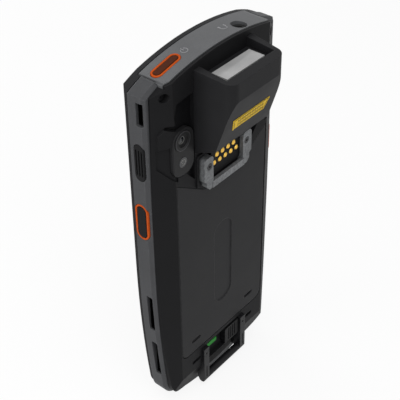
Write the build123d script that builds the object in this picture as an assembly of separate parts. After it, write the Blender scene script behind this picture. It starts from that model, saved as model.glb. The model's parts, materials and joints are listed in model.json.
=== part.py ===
from build123d import *
import math
import os

os.makedirs("parts", exist_ok=True)

# Rugged handheld data terminal standing on its lower end.
# +Z runs along its length to the top end, the display faces -Y, the back with the scanner hood faces +Y.
# The origin is the centre of the lower end, midway between the display glass and the hood's outer face.
# Depths are measured from the flat back plateau towards the display; negative depths stand proud of it.

# ---------------------------------------------------------------- driving dimensions (mm)
length = 168.0
width = 74.6
body_depth = 16.4
hood_rise = 16.2
top_radius = 112.0
base_radius = 85.0
base_flat = 24.0
taper_start = 80.0
taper_radius = 587.0
top_corner = 10.3
base_corner = 12.0

fixed_gap = 0.15
part_gap = 0.2
key_gap = 0.15
cut_over = 1.0
pick_reach = 0.001

# outer ring of rails and caps
rail_thick = 2.8
rail_back = 4.8
rail_front = 13.95
side_front = 12.4
rail_back_bevel = 1.3
base_back_bevel = 0.4
rail_front_bevel = 0.5
groove_half = 0.4
groove_sink = 0.8
top_seam_inset = 7.8
base_seam = 22.0
cap_back = 1.4

# strap slots in the rails: depths of their centres, width, places along the rail and lengths
slot_depth = 7.4
upper_slot_depth = 6.9
slot_width = 2.8
slot_corner = 0.5
upper_slot_drop = 14.4
upper_slot_long = 9.6
middle_slot_z = 58.1
middle_slot_long = 19.0
lower_slot_z = 30.6
lower_slot_long = 20.4

# bezel, glass and display
bezel_inset = 0.3
bezel_side_inset = 0.9
bezel_side_bevel = 2.2
bezel_corner = 6.5
bezel_rim = 3.6
bezel_edge = 0.4
glass_thick = 1.15
lcd_side = 8.3
lcd_end = 22.0
lcd_drop = 76.0
lcd_thick = 1.7
lcd_gap = 0.3
earpiece_long = 13.0
earpiece_high = 1.6
earpiece_drop = 9.4
earpiece_thick = 0.8
front_camera_x = 17.0
front_camera_r = 2.2
front_camera_deep = 4.0

# inner chassis
chassis_gap = 0.2
chassis_wall = 1.4
plate_back = 12.2
plate_front = 13.2

# rear housing
ridge_inset = 9.9
shoulder_inset = 1.6
housing_front = 4.65
housing_wall = 1.5
back_plate = 1.2
back_inset = 0.3
bay_wall_thick = 1.4
bevel_top_z = 15.0
bevel_base_z = 1.5
skirt_trim_drop = 56.0
skirt_top_drop = 11.0
skirt_top_inset = 2.7
panel_sink = 1.6
panel_foot_drop = 50.5
panel_crest_drop = 12.2
dish_sink = 0.6
wing_rise = 0.8
foot_top = 27.0
foot_floor = 6.0

# corners of the camera panel's floor, of the shallow dish beside the island and of the wing above the dish,
# each as an inset from the side and a drop from the top end
panel_edge = (
    (17.8, 47.2), (14.8, 43.5), (12.8, 34.0), (11.8, 24.4), (6.5, 21.6), (7.1, 20.8), (10.7, 21.1),
    (10.2, 17.7), (11.7, 13.1), (15.1, 12.7),
)
dish_edge = ((11.3, 46.2), (9.0, 44.6), (3.7, 38.1), (3.7, 29.6), (11.3, 29.6))
wing_edge = ((11.3, 29.6), (4.1, 29.6), (4.3, 23.8), (6.5, 21.6), (11.8, 24.4))

# oblong slots for the hand strap in the lower end and the battery cover
strap_slot_x = 17.9
strap_slot_z = 19.8
strap_slot_long = 5.6
strap_slot_wide = 1.8
strap_slot_deep = 3.2

# scanner hood
hood_base_half = 16.4
hood_tip_half = 15.0
hood_corner = 4.0
hood_back_drop = 3.6
hood_rim_drop = 5.2
hood_face_drop = 12.6
hood_break = 8.9
hood_break_drop = 35.0
hood_foot_drop = 38.4
hood_wall = 1.6
window_drop = 6.3
window_half = 10.6
window_back = 3.2
window_front = 10.2
window_lap = 0.8
mouth_half = 13.4
mouth_front = 12.2
mouth_ledge = 1.1
ledge_thick = 1.0
ledge_rise = 0.8
window_thick = 1.2
gasket_thick = 1.2
hood_fit = 0.12
engine_width = 24.0
engine_deep = 8.2
engine_high = 11.0
engine_drop = 25.5
engine_lens_r = 2.6
engine_lens_sink = 1.6
engine_lens_high = 3.2
engine_lens_x = 5.0
label_top_half = 10.6
label_base_half = 9.0
label_high = 5.6
label_thick = 0.5
label_sink = 0.35
label_drop = 25.0
label_border = 0.12

# contact block and pins
block_half = 8.6
block_base_drop = 53.4
block_top_drop = 40.0
block_proud = 1.1
block_seat = 1.0
block_corner = 1.2
pin_pitch = 3.33
lower_pin_drop = 48.1
lower_pins = 5
upper_pin_drop = 45.0
upper_pins = 4
pin_r = 1.12
pin_gap = 0.05
pin_proud = 0.3
pin_long = 1.6

# grip bracket
bracket_half = 14.2
bracket_waist_half = 12.9
bracket_inner = 9.0
bracket_top_drop = 42.4
bracket_waist_drop = 52.5
bracket_base_drop = 57.2
bracket_bar = 3.0
bracket_thick = 2.6
bracket_bar_thick = 1.5
bracket_bar_rise = 0.3
bracket_corner = 1.6
bracket_screw_x = 11.2
bracket_screw_drop = 46.6
screw_head_r = 1.35
screw_head_high = 0.8
screw_shank_r = 0.6
screw_bite = 2.4
screw_socket_r = 0.6
screw_socket_deep = 0.5
socket_sides = 6
finger_sink = 0.8
rim_gap = 0.9
rim_wide = 1.1
rim_proud = 0.7

# camera group
island_inset = 14.5
island_drop = 34.7
island_wide = 11.4
island_high = 19.8
island_corner = 4.6
island_proud = 0.25
island_deep = 3.4
island_edge = 0.3
lens_inset = 13.9
lens_drop = 29.2
ring_r = 4.0
ring_hole_r = 3.1
ring_proud = 0.35
ring_deep = 1.0
lens_glass_thick = 0.7
lens_lip = 0.6
module_r = 3.7
module_deep = 7.4
flash_drop = 38.6
flash_r = 2.1
flash_proud = 0.1
flash_deep = 1.4

# battery group
cover_inset = 10.5
cover_base = 26.4
cover_shelf_drop = 48.2
cover_notch_half = 11.5
cover_notch_drop = 58.2
cover_thick = 1.2
cover_edge = 0.25
cover_corner = 4.0
cover_recess = 1.5
cover_slot_z = 32.9
cover_slot_deep = 0.9
oval_z = 65.3
oval_long = 43.6
oval_wide = 11.0
oval_sink = 0.35
seal_width = 1.2
seal_thick = 0.25
seal_inset = 0.5
pack_inset = 13.0
pack_base = 31.0
pack_top_drop = 65.5
pack_corner = 2.0
pack_front = 9.6
pack_gap = 0.4
antenna_wide = 40.0
antenna_high = 30.0
antenna_drop = 84.0
antenna_thick = 0.25
antenna_track = 3.0
connector_wide = 14.0
connector_high = 2.6
connector_back = 5.6

# latch between the arms of the lower strap loop
latch_recess_half = 10.9
latch_recess_base = 13.2
latch_recess_top = 24.4
latch_floor = 2.8
latch_recess_corner = 1.0
latch_wide = 9.6
latch_high = 8.6
latch_z = 19.0
latch_proud = 0.35
latch_travel = 10.6
latch_rest_x = -5.95
latch_run = 0.12
latch_rib = 0.7
latch_rib_pitch = 1.4
latch_corner = 0.8
latch_ribs = 4
tongue_wide = 4.0
tongue_top = 28.0
tongue_back = 1.7
tongue_front = 2.3
hook_wide = 5.6
hook_x = 3.6
hook_web = 1.0
hook_front = 3.4
hook_lip = 0.8
hook_gap = 0.3
flag_wide = 8.0
flag_high = 2.2
flag_z = 18.6
flag_x = 5.6
flag_thick = 0.3

# lower strap loop
loop_half = 14.4
loop_arm = 3.4
loop_top = 23.6
loop_seat = 2.6
loop_proud = 1.3
loop_bar_r = 1.7
loop_bar_z = 4.4
loop_notch_top = 12.4
loop_screw_z = 20.4
arm_slit = 0.5
arm_slit_z = 9.0
arm_slit_long = 6.8

# fasteners of the rear housing
rear_screw_inset = 7.2
rear_screw_drop = 9.0
rear_well_r = 1.8
rear_head_r = 1.55
rear_head_high = 1.0
rear_head_depth = 3.1
rear_shank_r = 0.9
rear_boss_r = 3.0
rear_screw_end = 9.5

# keys in the rails and the top cap
key_travel = 0.4
key_proud = 0.15
key_edge = 0.25
flange_back = 1.85
flange_thick = 0.6
flange_lap = 0.45
ring_wide = 0.75
side_key_drop = 62.4
side_key_depth = 8.6
side_key_long = 14.6
side_key_wide = 4.4
volume_drop = 35.0
volume_depth = 8.0
volume_long = 15.8
volume_wide = 4.6
volume_rib = 0.6
volume_rib_long = 11.2
volume_ribs = 3
volume_rib_pitch = 1.3
rocker_lug_long = 5.0
rocker_lug_reach = 0.5
rocker_gap = 0.15
power_inset = 15.5
power_depth = 7.9
power_long = 11.8
power_wide = 3.0
switch_wide = 3.0
switch_long = 4.0
switch_thick = 1.4
switch_gap = 0.05
switch_offset = 3.55
ring_seat_gap = 0.05

# ports and electronics
jack_inset = 22.3
jack_depth = 5.0
jack_r = 3.0
jack_bore_r = 1.8
jack_bore_long = 12.0
jack_body_long = 13.6
jack_sink = 1.6
usb_depth = 9.4
usb_wide = 9.0
usb_high = 3.3
usb_wall = 0.35
usb_long = 7.4
usb_tongue = 0.7
usb_tongue_wide = 6.6
usb_sink = 0.4
usb_tongue_sink = 0.8
board_inset = 7.8
board_base_drop = 61.5
board_top_drop = 17.0
board_back = 10.2
board_thick = 1.0
board_post_r = 1.6
board_gap = 1.2
shield_wide = 24.0
shield_high = 18.0
shield_thick = 1.8
lower_board_half = 20.0
lower_board_base = 6.4
lower_board_top = 25.0
lower_board_back = 11.15
lower_board_thick = 0.8
speaker_x = 0.0
speaker_wide = 15.0
speaker_high = 10.0
speaker_back = 6.4
speaker_z = 15.6

# ---------------------------------------------------------------- values worked out from them
lcd_width = width - 2 * lcd_side
lcd_high = length - 2 * lcd_end
upper_slot_z = length - upper_slot_drop
lcd_z = length - lcd_drop
earpiece_z = length - earpiece_drop
panel_foot_z = length - panel_foot_drop
skirt_trim_z = length - skirt_trim_drop
skirt_top_z = length - skirt_top_drop
panel_crest_z = length - panel_crest_drop
hood_back_z = length - hood_back_drop
hood_rim_z = length - hood_rim_drop
hood_face_z = length - hood_face_drop
hood_break_z = length - hood_break_drop
hood_foot_z = length - hood_foot_drop
window_z = length - window_drop
seat_z = window_z - window_thick - gasket_thick
engine_z = length - engine_drop
label_z = length - label_drop
block_base = length - block_base_drop
block_top = length - block_top_drop
bracket_top = length - bracket_top_drop
bracket_waist = length - bracket_waist_drop
bracket_base = length - bracket_base_drop
bracket_screw_z = length - bracket_screw_drop
island_z = length - island_drop
lens_z = length - lens_drop
flash_z = length - flash_drop
cover_shelf_z = length - cover_shelf_drop
cover_notch_z = length - cover_notch_drop
pack_top = length - pack_top_drop
rear_screw_z = length - rear_screw_drop
side_key_z = length - side_key_drop
volume_z = length - volume_drop
board_base = length - board_base_drop
board_top = length - board_top_drop
antenna_z = length - antenna_drop
top_seam = width / 2 - top_seam_inset
ridge_x = width / 2 - ridge_inset
shoulder_x = width / 2 - shoulder_inset
island_x = width / 2 - island_inset
lens_x = width / 2 - lens_inset
cover_half = width / 2 - cover_inset
pack_half = width / 2 - pack_inset
rear_screw_x = width / 2 - rear_screw_inset
power_x = width / 2 - power_inset
jack_x = jack_inset - width / 2
board_half = width / 2 - board_inset
pin_rows = ((length - lower_pin_drop, lower_pins), (length - upper_pin_drop, upper_pins))
back_y = (body_depth - hood_rise) / 2
apex_drop = base_radius - math.sqrt(base_radius ** 2 - (base_flat / 2) ** 2)
top_centre_z = length - top_radius
inner_inset = rail_thick + fixed_gap
chassis_inset = rail_thick + chassis_gap
cavity_inset = chassis_inset + chassis_wall
flange_front = flange_back + flange_thick
glass_back = body_depth - glass_thick
far = length + width
mid_height = length / 2
seam_gap = fixed_gap / 2
opening_spread = key_gap + ring_wide + fixed_gap
rail_skirt_inset = rail_back_bevel + back_inset
cavity_reach = width / 2 - cavity_inset - cut_over
lens_stack_end = ring_deep - island_proud + lens_glass_thick
loop_bar_depth = loop_bar_r - loop_proud
loop_arm_x = loop_half - loop_arm / 2
loop_screw_end = foot_floor + screw_bite


# ---------------------------------------------------------------- helpers
def layer(face, back_depth, front_depth):
    """Solid of a face drawn in X and Z, between two depths below the back plateau."""
    start = Plane.XZ.offset(back_depth - back_y)
    return extrude(start * face, amount=front_depth - back_depth)


def side_layer(face, inner_x, outer_x):
    """Solid of a face drawn in Y and Z, between two places along +X."""
    return extrude(Plane.YZ.offset(inner_x) * face, amount=outer_x - inner_x)


def upright(face, base_z, top_z):
    """Solid of a face drawn in X and Y, between two heights."""
    return extrude(Plane.XY.offset(base_z) * face, amount=top_z - base_z)


def at(x, z, face):
    return Pos(x, z) * face


def block(x0, x1, depth0, depth1, z0, z1):
    """Box between two places in X, two depths and two heights."""
    face = at((x0 + x1) / 2, (z0 + z1) / 2, Rectangle(x1 - x0, z1 - z0))
    return layer(face, depth0, depth1)


def mirrored(solid):
    return mirror(solid, about=Plane.YZ)


def both_sides(solid):
    return [solid, mirrored(solid)]


def save(name, solids):
    group = solids if isinstance(solids, list) else [solids]
    found = [piece for item in group for piece in item.solids()]
    shape = found[0] if len(found) == 1 else Compound(children=found)
    shape.label = name
    export_step(shape, f"parts/{name}.step")


def edges_at_depth(solid, depth):
    """Edges that lie wholly at one depth."""
    y = back_y - depth
    return solid.edges().filter_by_position(Axis.Y, y - pick_reach, y + pick_reach)


def outline(inset, corner=top_corner):
    """Body outline seen from behind, drawn in by an inset: arched ends, straight sides that draw in below."""
    top = at(0, top_centre_z, Circle(top_radius - inset))
    base = at(0, base_radius - apex_drop, Circle(base_radius - inset))
    upper = at(0, taper_start, Rectangle(width - 2 * inset, length, align=(Align.CENTER, Align.MIN)))
    swing_x = taper_radius - width / 2
    lower = at(0, taper_start, Rectangle(width, length, align=(Align.CENTER, Align.MAX)))
    lower = lower & at(-swing_x, taper_start, Circle(taper_radius - inset))
    lower = lower & at(swing_x, taper_start, Circle(taper_radius - inset))
    face = ((upper + lower) & top & base).clean()
    corners = face.vertices().sort_by(Axis.Y)
    face = fillet(corners[-2:], max(corner - inset, fixed_gap))
    corners = face.vertices().sort_by(Axis.Y)
    return fillet(corners[:2], max(base_corner - inset, fixed_gap))


def ring(outer_inset, inner_inset_here, back_depth, front_depth):
    return layer(outline(outer_inset) - outline(inner_inset_here), back_depth, front_depth)


def trim_foot(solid):
    """Cuts everything below the standing plane."""
    return solid - Box(far, far, far, align=(Align.CENTER, Align.CENTER, Align.MAX))


def envelope(drop):
    """Everything in front of the rear surface lowered by a drop: plateau, sloped shoulders and end bevel."""
    solid = block(-far, far, drop, far, -far, far)
    slope_x = shoulder_x - ridge_x
    past = far / slope_x
    y0 = back_y - drop
    shoulder = Polygon(
        (ridge_x, y0),
        (ridge_x + slope_x * past, y0 - housing_front * past),
        (ridge_x + slope_x * past, y0 + cut_over),
        (ridge_x, y0 + cut_over),
        align=None,
    )
    wedge = upright(shoulder, -far, far)
    rise = bevel_top_z - bevel_base_z
    reach = far / rise
    bevel = Polygon(
        (y0, bevel_top_z),
        (y0 - housing_front * reach, bevel_top_z - rise * reach),
        (y0 + cut_over, bevel_top_z - rise * reach),
        (y0 + cut_over, bevel_top_z),
        align=None,
    )
    toe = side_layer(bevel, -far, far)
    return solid - wedge - mirrored(wedge) - toe


def pill(wide, long, spread=0.0):
    """Upright rounded bar, its size in Y and Z."""
    return Rot(0, 0, 90) * SlotOverall(long + 2 * spread, wide + 2 * spread)


def at_side(depth, z, face):
    return Pos(back_y - depth, z) * face


def top_plane(x, depth, inset):
    """Plane square to the arched top end at a place across it, sunk by an inset."""
    radius = top_radius - inset
    turn = math.asin(x / top_radius)
    point = (radius * math.sin(turn), back_y - depth, top_centre_z + radius * math.cos(turn))
    along = (math.cos(turn), 0, -math.sin(turn))
    return Plane(origin=point, x_dir=along, z_dir=(math.sin(turn), 0, math.cos(turn)))


def cap_face_z(x, inset):
    return top_centre_z + math.sqrt((top_radius - inset) ** 2 - x ** 2)


# ---------------------------------------------------------------- front
def bezel_sides():
    """Upper half of the room between the bezel's two bevelled sides."""
    wide = width / 2 - bezel_side_inset
    rear_y = back_y - side_front
    turn_y = back_y - body_depth + bezel_side_bevel
    narrow = wide - bezel_side_bevel - cut_over
    face = Polygon(
        (-narrow, turn_y - bezel_side_bevel - cut_over),
        (narrow, turn_y - bezel_side_bevel - cut_over),
        (wide, turn_y),
        (wide, rear_y),
        (-wide, rear_y),
        (-wide, turn_y),
        align=None,
    )
    return upright(face, mid_height, far)


def front_bezel():
    ends = layer(outline(bezel_inset, bezel_corner), side_front + fixed_gap, body_depth)
    ends = chamfer(edges_at_depth(ends, body_depth), bezel_edge)
    base_end = block(-base_seam, base_seam, 0, body_depth + cut_over, -far, mid_height)
    rim = layer(outline(bezel_side_inset, bezel_corner), side_front + fixed_gap, body_depth)
    rim = chamfer(edges_at_depth(rim, body_depth), bezel_side_bevel)
    rim = (rim & block(-far, far, 0, body_depth, -far, mid_height)) + (ends & (bezel_sides() + base_end))
    rim = rim - layer(outline(rail_thick), 0, plate_front)
    for seam_x, low, high in ((top_seam, mid_height, far), (base_seam, -far, mid_height)):
        rim = rim - block(-seam_x - seam_gap, seam_x + seam_gap, 0, rail_front + fixed_gap, low, high)
    seat = layer(outline(inner_inset), plate_front, rail_front + fixed_gap)
    solid = rim + seat
    solid = solid - layer(outline(bezel_rim), glass_back, body_depth + cut_over)
    window = at(0, lcd_z, Rectangle(lcd_width + 2 * lcd_gap, lcd_high + 2 * lcd_gap))
    solid = solid - layer(window, plate_front - cut_over, body_depth)
    slot = at(0, earpiece_z, SlotOverall(earpiece_long + 2 * lcd_gap, earpiece_high + 2 * lcd_gap))
    solid = solid - layer(slot, plate_front - cut_over, body_depth)
    hole = at(front_camera_x, earpiece_z, Circle(front_camera_r + fixed_gap))
    solid = solid - layer(hole, plate_front - cut_over, body_depth)
    return trim_foot(solid)


def display_glass():
    solid = layer(outline(bezel_rim + fixed_gap), glass_back, body_depth)
    slot = at(0, earpiece_z, SlotOverall(earpiece_long, earpiece_high))
    return solid - layer(slot, glass_back - cut_over, body_depth + cut_over)


def display_module():
    return layer(at(0, lcd_z, Rectangle(lcd_width, lcd_high)), glass_back - lcd_thick, glass_back)


def earpiece():
    slot = at(0, earpiece_z, SlotOverall(earpiece_long + lcd_gap, earpiece_high + lcd_gap))
    return layer(slot, glass_back - earpiece_thick, glass_back)


def front_camera():
    face = at(front_camera_x, earpiece_z, Circle(front_camera_r))
    return layer(face, glass_back - front_camera_deep, glass_back)


# ---------------------------------------------------------------- rails and caps
def full_ring(back_bevel, front):
    """The outer ring before it is parted into rails or caps."""
    solid = ring(0, rail_thick, rail_back, front)
    solid = chamfer(on_outline(edges_at_depth(solid, rail_back)), back_bevel)
    return chamfer(on_outline(edges_at_depth(solid, front)), rail_front_bevel)


def on_outline(edges):
    """Those of the edges that lie on the body's outermost outline."""
    rim = outline(0)
    wanted = []
    for edge in edges:
        middle = edge.position_at(0.5)
        flat = Vertex(middle.X, middle.Z, 0)
        nearest = min(flat.distance_to(side) for side in rim.edges())
        if nearest < fixed_gap:
            wanted.append(edge)
    return ShapeList(wanted)


def seam_groove():
    """Shallow groove along the joint between the right-hand rail and the top cap."""
    band = ring(-cut_over, groove_sink, 0, body_depth)
    return band & block(top_seam - groove_half, top_seam + groove_half, 0, body_depth, mid_height, far)


def strap_slots():
    """Slots in a right-hand rail for a wrist strap and a hand strap."""
    places = (
        (upper_slot_depth, upper_slot_z, upper_slot_long),
        (slot_depth, middle_slot_z, middle_slot_long),
        (slot_depth, lower_slot_z, lower_slot_long),
    )
    return [
        side_layer(at_side(depth, z, RectangleRounded(slot_width, long, slot_corner)), cavity_reach, width)
        for depth, z, long in places
    ]


def rail_blank():
    """Right-hand half of the ring between its seams, with strap slots."""
    solid = full_ring(rail_back_bevel, side_front) - seam_groove()
    solid = solid - block(-far, top_seam + seam_gap, 0, body_depth, mid_height, far)
    solid = solid - block(-far, base_seam + seam_gap, 0, body_depth, -far, mid_height)
    for slot in strap_slots():
        solid = solid - slot
    return trim_foot(solid)


def scan_opening():
    face = at_side(side_key_depth, side_key_z, pill(side_key_wide, side_key_long, opening_spread))
    return side_layer(face, cavity_reach, width)


def volume_opening():
    face = at_side(volume_depth, volume_z, pill(volume_wide, volume_long, key_gap))
    opening = side_layer(face, cavity_reach, width)
    lug = Rectangle(volume_wide + 2 * (rocker_lug_reach + key_gap), rocker_lug_long + 2 * key_gap)
    pocket_end = width / 2 - flange_back + rocker_gap
    pocket = side_layer(at_side(volume_depth, volume_z, lug), cavity_reach, pocket_end)
    return opening + pocket


def talk_opening():
    face = at_side(volume_depth, volume_z, pill(volume_wide, volume_long, key_gap))
    opening = side_layer(face, cavity_reach, width)
    lap = pill(volume_wide, volume_long, flange_lap + key_gap)
    pocket_end = width / 2 - flange_back + seam_gap
    pocket = side_layer(at_side(volume_depth, volume_z, lap), cavity_reach, pocket_end)
    return opening + pocket


def side_rail_right():
    return rail_blank() - scan_opening() - volume_opening()


def side_rail_left():
    return mirrored(rail_blank() - scan_opening() - talk_opening())


def power_opening():
    face = SlotOverall(power_long + 2 * opening_spread, power_wide + 2 * opening_spread)
    start = top_plane(power_x, power_depth, rail_thick + cut_over)
    return extrude(start * face, amount=rail_thick + 2 * cut_over)


def top_cap():
    solid = ring(0, rail_thick, 0, rail_front)
    solid = chamfer(on_outline(edges_at_depth(solid, rail_front)), rail_front_bevel)
    solid = solid & block(-top_seam + seam_gap, top_seam - seam_gap, 0, body_depth, mid_height, far)
    solid = solid & envelope(cap_back)
    for groove in both_sides(seam_groove()):
        solid = solid - groove
    solid = solid - power_opening()
    jack_hole = Pos(jack_x, back_y - jack_depth) * Circle(jack_r + fixed_gap)
    return solid - upright(jack_hole, mid_height, far)


def bottom_cap():
    solid = full_ring(base_back_bevel, rail_front) & block(
        -base_seam + seam_gap, base_seam - seam_gap, 0, body_depth, -far, mid_height
    )
    port = Pos(0, back_y - usb_depth) * SlotOverall(usb_wide + 2 * fixed_gap, usb_high + 2 * fixed_gap)
    return trim_foot(solid - upright(port, -far, mid_height))


# ---------------------------------------------------------------- chassis
def screw_posts():
    """Right-hand posts of the chassis that take the rear screws and the loop screws."""
    rear = at(rear_screw_x, rear_screw_z, Circle(rear_boss_r))
    loop = at(loop_arm_x, loop_screw_z, Circle(rear_boss_r - rear_shank_r))
    return [
        layer(rear, housing_front + fixed_gap, plate_back),
        layer(loop, foot_floor + fixed_gap, plate_back),
    ]


def mid_chassis():
    solid = layer(outline(chassis_inset), plate_back, plate_front)
    solid = solid + ring(chassis_inset, cavity_inset, housing_front + fixed_gap, plate_back)
    inside = layer(outline(chassis_inset), 0, body_depth)
    for post in screw_posts():
        for one in both_sides(post & inside):
            solid = solid + one
    for x in (-board_half + board_post_r, board_half - board_post_r):
        for z in (board_base + board_post_r, board_top - board_post_r):
            solid = solid + layer(at(x, z, Circle(board_post_r)), board_back + board_thick, plate_back)
    for x in (-lower_board_half + board_post_r, lower_board_half - board_post_r):
        post = at(x, (lower_board_base + lower_board_top) / 2, Circle(board_post_r))
        solid = solid + layer(post, lower_board_back + lower_board_thick, plate_back)
    rear_hole = layer(at(rear_screw_x, rear_screw_z, Circle(rear_shank_r)), 0, rear_screw_end + fixed_gap)
    loop_hole = layer(
        at(loop_arm_x, loop_screw_z, Circle(screw_shank_r)), 0, loop_screw_end + fixed_gap
    )
    for hole in both_sides(rear_hole) + both_sides(loop_hole):
        solid = solid - hole
    for opening in chassis_openings():
        solid = solid - opening
    return trim_foot(solid)


def switch_window(depth, z, long):
    """Hole for a switch through the chassis wall behind a right-hand key."""
    face = Rectangle(switch_wide + key_gap, long + key_gap)
    return side_layer(at_side(depth, z, face), cavity_reach, width)


def chassis_openings():
    """Holes in the chassis wall for switches, jack, camera parts and data port."""
    scan = switch_window(side_key_depth, side_key_z, switch_long)
    high = switch_window(volume_depth, volume_z + switch_offset, switch_wide)
    low = switch_window(volume_depth, volume_z - switch_offset, switch_wide)
    talk = switch_window(volume_depth, volume_z, switch_long)
    power_face = Rectangle(switch_long + key_gap, switch_wide + key_gap)
    power_start = top_plane(power_x, power_depth, cavity_inset + cut_over)
    power = extrude(power_start * power_face, amount=chassis_wall + 2 * cut_over)
    jack = upright(Pos(jack_x, back_y - jack_depth) * Circle(jack_r + fixed_gap), mid_height, far)
    port = Pos(0, back_y - usb_depth) * SlotOverall(usb_wide + 2 * fixed_gap, usb_high + 2 * fixed_gap)
    usb = upright(port, -far, lower_board_base)
    camera_face = at(front_camera_x, earpiece_z, Circle(front_camera_r + fixed_gap))
    camera = layer(camera_face, plate_back - cut_over, plate_front + cut_over)
    return [scan, mirrored(scan), high, low, mirrored(talk), power, jack, usb, camera]


# ---------------------------------------------------------------- rear housing
def cover_face(spread=0.0):
    """Outline of the battery cover: flat foot, straight sides, top edge dipping under the grip bracket."""
    points = (
        (-cover_half, cover_base),
        (cover_half, cover_base),
        (cover_half, cover_shelf_z),
        (cover_notch_half, cover_notch_z),
        (-cover_notch_half, cover_notch_z),
        (-cover_half, cover_shelf_z),
    )
    face = Polygon(*points, align=None)
    low = face.vertices().sort_by(Axis.Y)[:2]
    face = fillet(low, cover_corner)
    return offset(face, spread) if spread else face


def pack_face(spread=0.0):
    wide = 2 * (pack_half + spread)
    high = pack_top - pack_base + 2 * spread
    return at(0, (pack_base + pack_top) / 2, RectangleRounded(wide, high, pack_corner))


def side_points(edge):
    """Places in X and Z from insets and drops."""
    return [(width / 2 - inset, length - drop) for inset, drop in edge]


def panel_face():
    """Sunken camera panel between the hood and the shoulder, reaching under the island."""
    hood_side = hood_base_half + hood_fit
    return Polygon((hood_side, panel_foot_z), *side_points(panel_edge), (hood_side, panel_crest_z), align=None)


def dish():
    """Cutter of the shallow dish in the shoulder beside the island."""
    return layer(Polygon(*side_points(dish_edge), align=None), -cut_over, body_depth) - envelope(dish_sink)


def wing():
    """Soft raised pad on the shoulder above the dish."""
    return layer(Polygon(*side_points(wing_edge), align=None), 0, housing_front) & envelope(-wing_rise)


def skirt_face():
    """Outline of the housing's lower edge, drawn in towards the top corners."""
    half = width / 2
    points = [(half, -half), (half, skirt_trim_z), (half - rail_skirt_inset, skirt_trim_z)]
    points = points + [(half - skirt_top_inset, skirt_top_z), (half - skirt_top_inset, far)]
    mirrored_points = [(-x, z) for x, z in reversed(points)]
    return outline(rail_skirt_inset) & Polygon(*points, *mirrored_points, align=None)


def island_face(spread=0.0):
    face = RectangleRounded(island_wide + 2 * spread, island_high + 2 * spread, island_corner + spread)
    return at(island_x, island_z, face)


def block_face(spread=0.0):
    wide = 2 * (block_half + spread)
    high = block_top - block_base + 2 * spread
    return at(0, (block_base + block_top) / 2, RectangleRounded(wide, high, block_corner))


def slot_pair(z, sink_from, sink_to):
    """Two oblong strap slots, one each side of the middle."""
    face = SlotOverall(strap_slot_long, strap_slot_wide)
    return both_sides(layer(at(strap_slot_x, z, face), sink_from, sink_to))


def arm_face(spread=0.0):
    wide = loop_arm + 2 * spread
    high = loop_top - loop_bar_z + spread
    return at(loop_arm_x, loop_bar_z, Rectangle(wide, high, align=(Align.CENTER, Align.MIN)))


def latch_recess_face():
    wide = 2 * latch_recess_half
    high = latch_recess_top - latch_recess_base
    middle = (latch_recess_base + latch_recess_top) / 2
    return at(0, middle, RectangleRounded(wide, high, latch_recess_corner))


def housing_skin():
    """Outer shape of the rear housing."""
    reach = block(-top_seam - fixed_gap, top_seam + fixed_gap, 0, body_depth, mid_height, far)
    lid = (layer(outline(back_inset), 0, housing_front) & reach) - envelope(back_plate)
    skirt = layer(skirt_face(), 0, housing_front)
    foot = layer(outline(cavity_inset + part_gap), housing_front, foot_floor)
    foot = foot & block(-far, far, 0, body_depth, -far, foot_top)
    cap_room = ring(-cut_over, inner_inset, 0, body_depth) & reach & envelope(cap_back - fixed_gap)
    solid = ((skirt + foot) & envelope(0)) + (lid & envelope(0)) + bracket_rim()
    for one in both_sides(wing()):
        solid = solid + one
    return solid - cap_room


def housing_cavity():
    hollow = layer(outline(cavity_inset), housing_wall, housing_front + cut_over)
    hollow = hollow & envelope(housing_wall)
    hollow = hollow - block(-far, far, 0, body_depth, -far, foot_top)
    bay_wall = layer(cover_face(bay_wall_thick), 0, body_depth)
    bay_top = pack_top + pack_gap
    top_wall = block(-cover_half, cover_half, 0, body_depth, bay_top, cover_shelf_z + bay_wall_thick)
    keep = bay_wall & block(-far, far, 0, body_depth, -far, bay_top + bay_wall_thick)
    shelf = layer(cover_face(bay_wall_thick), 0, cover_recess + housing_wall) & top_wall
    boss = layer(at(rear_screw_x, rear_screw_z, Circle(rear_boss_r)), 0, body_depth)
    panel_wall = layer(offset(panel_face(), housing_wall), 0, body_depth)
    panel_wall = panel_wall - envelope(panel_sink + housing_wall)
    for piece in [keep, shelf] + both_sides(boss) + both_sides(panel_wall):
        hollow = hollow - piece
    return hollow


def rear_housing():
    solid = housing_skin() - housing_cavity()
    panel = layer(panel_face(), -cut_over, body_depth) - envelope(panel_sink)
    for one in both_sides(panel) + both_sides(dish()):
        solid = solid - one
    solid = solid - layer(cover_face(part_gap), -cut_over, cover_recess)
    solid = solid - layer(pack_face(pack_gap), 0, body_depth)
    solid = solid - layer(island_face(fixed_gap), -cut_over, body_depth)
    solid = solid - layer(block_face(fixed_gap), -cut_over, block_seat)
    solid = solid - layer(finger_face(), -cut_over, finger_sink)
    for one in slot_pair(strap_slot_z, -cut_over, strap_slot_deep):
        solid = solid - one
    for arm in both_sides(layer(arm_face(fixed_gap), -cut_over, loop_seat + fixed_gap)):
        solid = solid - arm
    solid = solid - layer(latch_recess_face(), -cut_over, latch_floor)
    solid = solid - tongue_room() - hook_shape(hook_gap)
    notch = block(-loop_arm_x, loop_arm_x, -cut_over, housing_front, -cut_over, loop_notch_top)
    solid = solid - notch
    for hole in both_sides(rear_screw_tool()) + both_sides(loop_screw_tool()):
        solid = solid - hole
    lens_room = layer(at(lens_x, lens_z, Circle(module_r + part_gap)), 0, body_depth)
    jack_room = upright(Pos(jack_x, back_y - jack_depth) * Circle(jack_r + fixed_gap), mid_height, far)
    return trim_foot(solid - lens_room - jack_room)


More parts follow.
